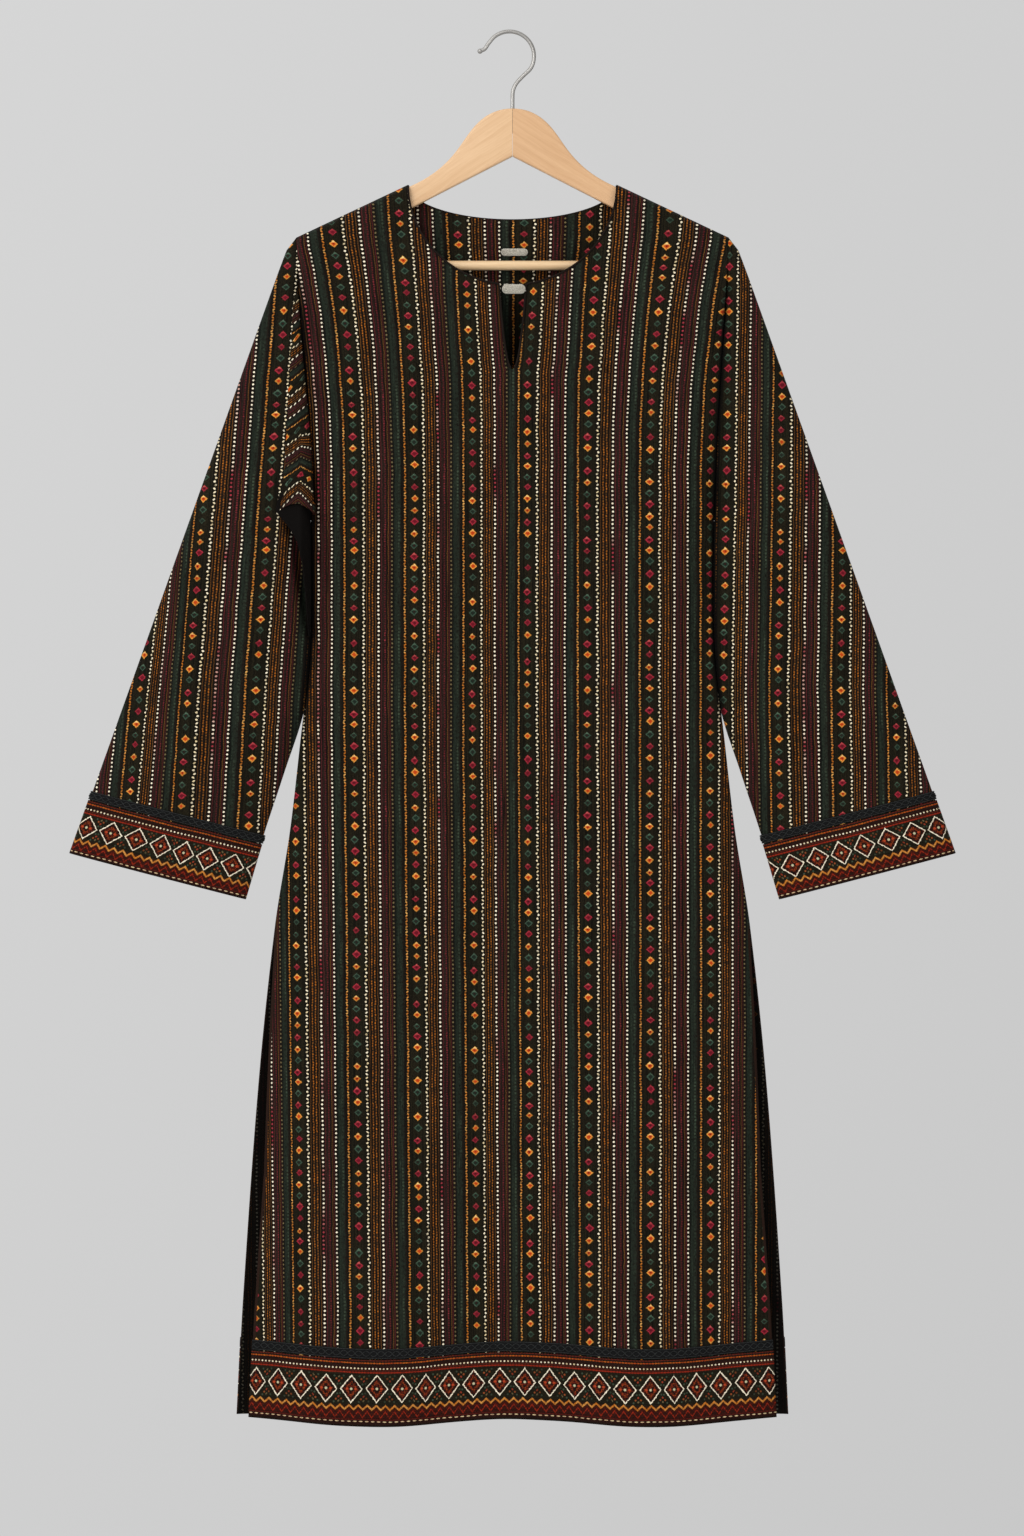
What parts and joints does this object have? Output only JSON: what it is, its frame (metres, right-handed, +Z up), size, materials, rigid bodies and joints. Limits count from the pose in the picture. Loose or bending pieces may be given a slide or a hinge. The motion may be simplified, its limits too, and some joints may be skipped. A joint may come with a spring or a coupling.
{
  "type": "long striped tunic on a wooden hanger",
  "caption": "Long dark striped tunic with a round neck, neck slit, straight flared sleeves, side vents and patterned cuff and hem borders, hung on a wooden hanger.",
  "frame": {"origin": "inside the top of the hook, where it rests on a rail, on the line of the hook's shank", "axes": "+Z up, the garment's front faces -Y, +X to the right as seen from the front"},
  "size_m": [0.8868, 0.0878, 1.3927],
  "materials": {
    "striped_cloth": "woven and embroidered cotton, matt",
    "band_cloth": "embroidered border, matt",
    "braid": "twisted braid, matt",
    "edge_binding": "narrow woven binding, matt",
    "silver_thread": "close silver-white stitching, low sheen",
    "wood_left": "satin varnish",
    "wood_right": "satin varnish",
    "wood_bar": "satin varnish",
    "hook_steel": "bright plated steel wire"
  },
  "bodies": {
    "root": {"front_panel": "striped_cloth", "back_panel": "striped_cloth", "sleeve_left": "striped_cloth", "sleeve_right": "striped_cloth", "hem_band_front": "band_cloth", "hem_band_back": "band_cloth", "cuff_band_left": "band_cloth", "cuff_band_right": "band_cloth", "hem_braid_front": "braid", "hem_braid_back": "braid", "cuff_braid_left": "braid", "cuff_braid_right": "braid", "neck_binding_front_left": "edge_binding", "neck_binding_front_right": "edge_binding", "neck_binding_back": "edge_binding", "neck_closure_bar": "silver_thread", "back_neck_tag": "silver_thread", "hanger_arm_left": "wood_left", "hanger_arm_right": "wood_right", "trouser_bar": "wood_bar", "hook": "hook_steel"}
  },
  "joints": []
}
